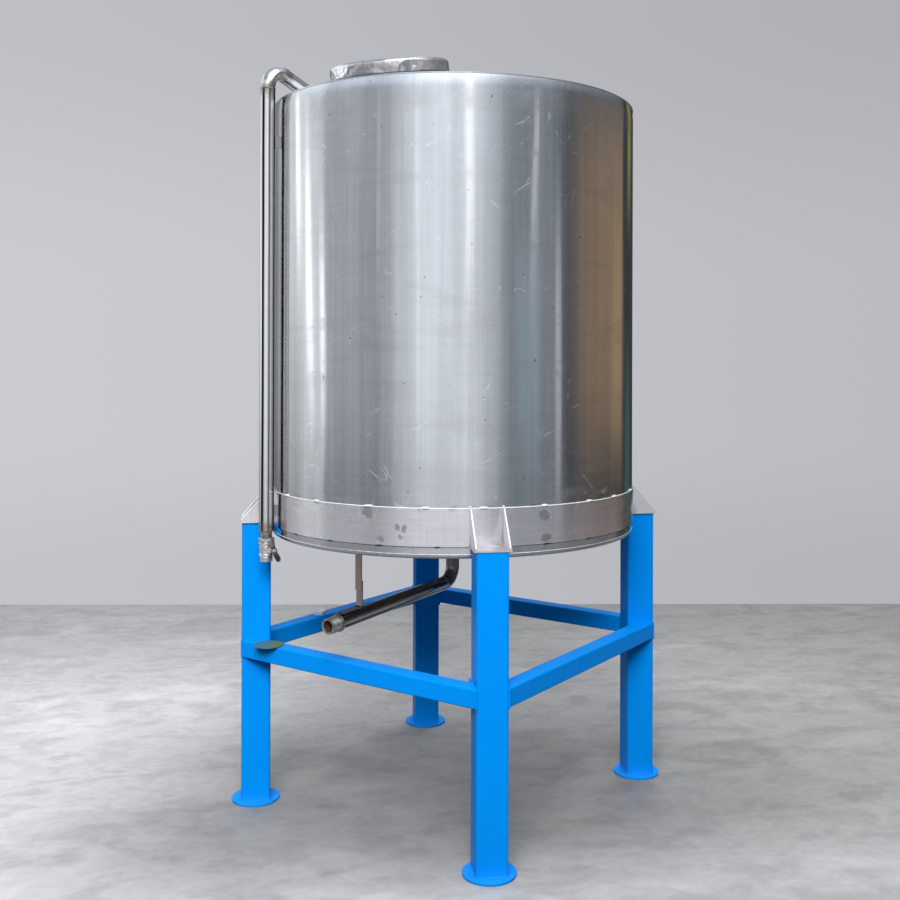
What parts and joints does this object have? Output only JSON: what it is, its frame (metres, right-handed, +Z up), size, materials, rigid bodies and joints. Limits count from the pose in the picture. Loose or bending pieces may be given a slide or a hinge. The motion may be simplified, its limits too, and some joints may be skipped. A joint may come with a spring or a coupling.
{
  "type": "storage tank",
  "caption": "Upright stainless storage tank with conical roof and bottom on a square-tube stand, with manhole lid, filling pipe with ball valve and outlet pipe.",
  "frame": {"origin": "on the floor, at the tank's vertical axis", "axes": "+Z up the tank's axis, +Y away from the viewer, +X to the viewer's right; the legs stand on the X and Y axes"},
  "size_m": [1.575, 1.575, 2.5698],
  "materials": {
    "stainless_sheet": "rolled sheet, fine scratches",
    "polished_tube": "polished tube",
    "cast_stainless": "cast and machined, satin",
    "blue_paint": "azure gloss paint",
    "olive_steel": "dull olive grey",
    "clear_plastic": "milky, slightly glossy"
  },
  "bodies": {
    "tank": {"tank_wall": "stainless_sheet", "tank_roof": "stainless_sheet", "tank_bottom": "stainless_sheet", "reinforcement_band": "stainless_sheet", "leg_front": "blue_paint", "leg_right": "blue_paint", "leg_back": "blue_paint", "leg_left": "blue_paint", "foot_plate_front": "blue_paint", "foot_plate_right": "blue_paint", "foot_plate_back": "blue_paint", "foot_plate_left": "blue_paint", "cross_beam_front_right": "blue_paint", "cross_beam_back_right": "blue_paint", "cross_beam_back_left": "blue_paint", "cross_beam_front_left": "blue_paint", "bracket_plate_front": "stainless_sheet", "bracket_plate_right": "stainless_sheet", "bracket_plate_back": "stainless_sheet", "bracket_plate_left": "stainless_sheet", "bracket_gusset_front_a": "stainless_sheet", "bracket_gusset_front_b": "stainless_sheet", "bracket_gusset_right_a": "stainless_sheet", "bracket_gusset_right_b": "stainless_sheet", "bracket_gusset_back_a": "stainless_sheet", "bracket_gusset_back_b": "stainless_sheet", "bracket_gusset_left_a": "stainless_sheet", "bracket_gusset_left_b": "stainless_sheet", "manhole_neck": "stainless_sheet", "inlet_riser": "polished_tube", "inlet_bend": "polished_tube", "inlet_clip_lower": "stainless_sheet", "inlet_clip_upper": "stainless_sheet", "inlet_nipple": "cast_stainless", "valve_end_piece": "cast_stainless", "valve_body": "cast_stainless", "outlet_bend": "polished_tube", "outlet_run": "polished_tube", "outlet_nipple": "cast_stainless", "outlet_hanger_upper": "stainless_sheet", "outlet_hanger_lower": "stainless_sheet", "round_plate": "olive_steel", "plastic_plug": "clear_plastic"},
    "valve_handle": {"valve_stem": "cast_stainless", "valve_handle": "cast_stainless"},
    "manhole_lid": {"manhole_lid": "stainless_sheet"}
  },
  "joints": [
    {"name": "valve_turn", "type": "hinge", "parent": "tank", "child": "valve_handle", "pos_m": [-0.67, -0.15, 0.905], "axis": [0.7071, -0.7071, 0], "range_deg": [-25, 65]},
    {"name": "lid_lift", "type": "slide", "parent": "tank", "child": "manhole_lid", "axis": [-0.1165, -0.1467, 0.9823], "range_m": [0, 0.12]}
  ]
}
